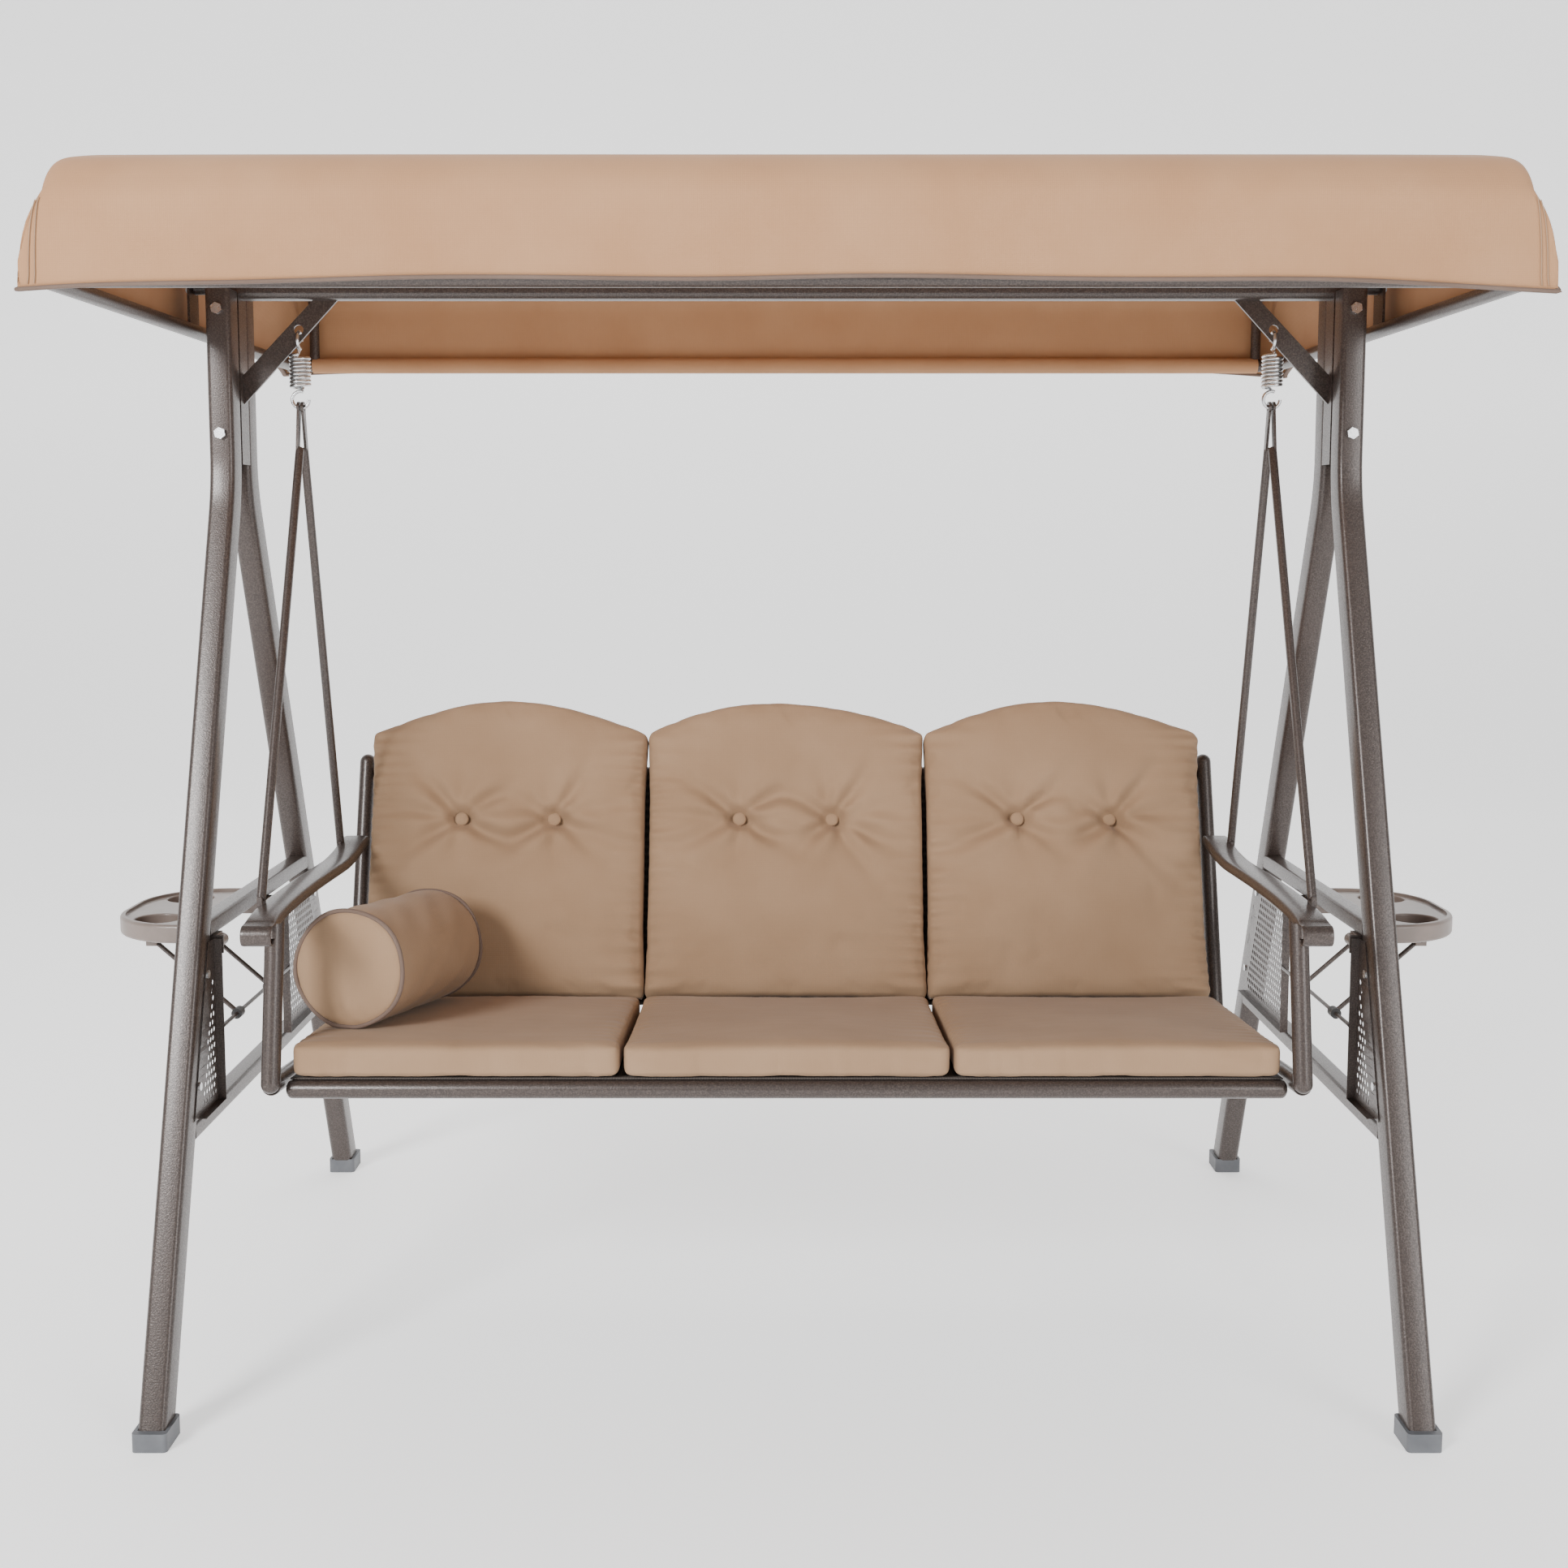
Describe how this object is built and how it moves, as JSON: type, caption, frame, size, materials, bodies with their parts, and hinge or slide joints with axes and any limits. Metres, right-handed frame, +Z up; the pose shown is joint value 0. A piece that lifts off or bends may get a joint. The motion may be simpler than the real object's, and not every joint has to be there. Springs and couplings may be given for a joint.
{
  "type": "patio glider swing",
  "caption": "Outdoor bench swing: A-frame ends, seat hung from coil springs, padded cushions and bolster, tilting fabric canopy, folding side trays with cup holders",
  "frame": {"origin": "on the floor under the middle of the beam", "axes": "+Z up, -Y front, X along the beam, +X to the right seen from the front"},
  "size_m": [2.03, 1.2513, 1.775],
  "materials": {
    "frame_paint": "hammertone powder coat, semi-gloss",
    "zinc": "bright zinc plate",
    "foot_plastic": "moulded, matt",
    "tray_plastic": "moulded, fine texture",
    "black_plastic": "moulded, matt",
    "canopy_fabric": "woven polyester, matt",
    "cushion_fabric": "woven polyester, matt",
    "sling_mesh": "woven mesh"
  },
  "bodies": {
    "frame": {"apex_bolts": "zinc", "brace_left": "frame_paint", "brace_right": "frame_paint", "canopy_pivots": "zinc", "crossbeam": "frame_paint", "foot_caps": "foot_plastic", "front_leg_left": "frame_paint", "front_leg_right": "frame_paint", "hinge_pins": "zinc", "hinge_plates": "frame_paint", "lower_rail_left": "frame_paint", "lower_rail_right": "frame_paint", "panel_bolts": "zinc", "panel_front_left": "frame_paint", "panel_front_right": "frame_paint", "panel_rear_left": "frame_paint", "panel_rear_right": "frame_paint", "post_left": "frame_paint", "post_right": "frame_paint", "rear_leg_left": "frame_paint", "rear_leg_right": "frame_paint", "upper_rail_left": "frame_paint", "upper_rail_right": "frame_paint"},
    "springs": {"spring_left": "zinc", "spring_right": "zinc"},
    "seat": {"armrest_left": "frame_paint", "armrest_right": "frame_paint", "back_cushion_left": "cushion_fabric", "back_cushion_middle": "cushion_fabric", "back_cushion_right": "cushion_fabric", "back_sling": "sling_mesh", "back_top_rail": "frame_paint", "bolster": "cushion_fabric", "hanger_bolts": "zinc", "hanger_front_left": "frame_paint", "hanger_front_right": "frame_paint", "hanger_rear_left": "frame_paint", "hanger_rear_right": "frame_paint", "seat_cushion_left": "cushion_fabric", "seat_cushion_middle": "cushion_fabric", "seat_cushion_right": "cushion_fabric", "seat_front_rail": "frame_paint", "seat_rear_rail": "frame_paint", "seat_side_left": "frame_paint", "seat_side_right": "frame_paint", "seat_sling": "sling_mesh"},
    "canopy": {"canopy_brackets": "frame_paint", "canopy_cover": "canopy_fabric", "canopy_front_tube": "frame_paint", "canopy_hoops": "frame_paint", "canopy_rear_tube": "frame_paint", "canopy_side_tube_left": "frame_paint", "canopy_side_tube_right": "frame_paint"},
    "tray_left": {"tray_left": "tray_plastic"},
    "tray_right": {"tray_right": "tray_plastic"},
    "struts_left": {"tray_struts_left": "frame_paint", "strut_knuckles_left": "black_plastic"},
    "struts_right": {"tray_struts_right": "frame_paint", "strut_knuckles_right": "black_plastic"}
  },
  "joints": [
    {"name": "seat_swing", "type": "hinge", "parent": "frame", "child": "springs", "pos_m": [0, 0, 1.544], "axis": [1, 0, 0], "range_deg": [-18, 18]},
    {"name": "spring_stretch", "type": "slide", "parent": "springs", "child": "seat", "axis": [0, 0, 1], "range_m": [-0.05, 0.004], "stiffness_N_per_m": 36000, "springref_m": 0.01063, "deforming": ["spring_left", "spring_right"]},
    {"name": "canopy_tilt", "type": "hinge", "parent": "frame", "child": "canopy", "pos_m": [0, 0, 1.612], "axis": [1, 0, 0], "range_deg": [-15, 15]},
    {"name": "tray_fold_left", "type": "hinge", "parent": "frame", "child": "tray_left", "pos_m": [-0.84, -0.085, 0.633], "axis": [0, -1, 0], "range_deg": [0, 88]},
    {"name": "strut_turn_left", "type": "hinge", "parent": "tray_left", "child": "struts_left", "pos_m": [-0.955, -0.08, 0.624], "axis": [0, -1, 0], "range_deg": [-123, 0]},
    {"name": "tray_fold_right", "type": "hinge", "parent": "frame", "child": "tray_right", "pos_m": [0.84, -0.085, 0.633], "axis": [0, 1, 0], "range_deg": [0, 88]},
    {"name": "strut_turn_right", "type": "hinge", "parent": "tray_right", "child": "struts_right", "pos_m": [0.955, -0.08, 0.624], "axis": [0, 1, 0], "range_deg": [-123, 0]}
  ],
  "couplings": [
    {"joint": "strut_turn_left", "follows": "tray_fold_left", "ratio": -1.3875},
    {"joint": "strut_turn_right", "follows": "tray_fold_right", "ratio": -1.3875}
  ]
}
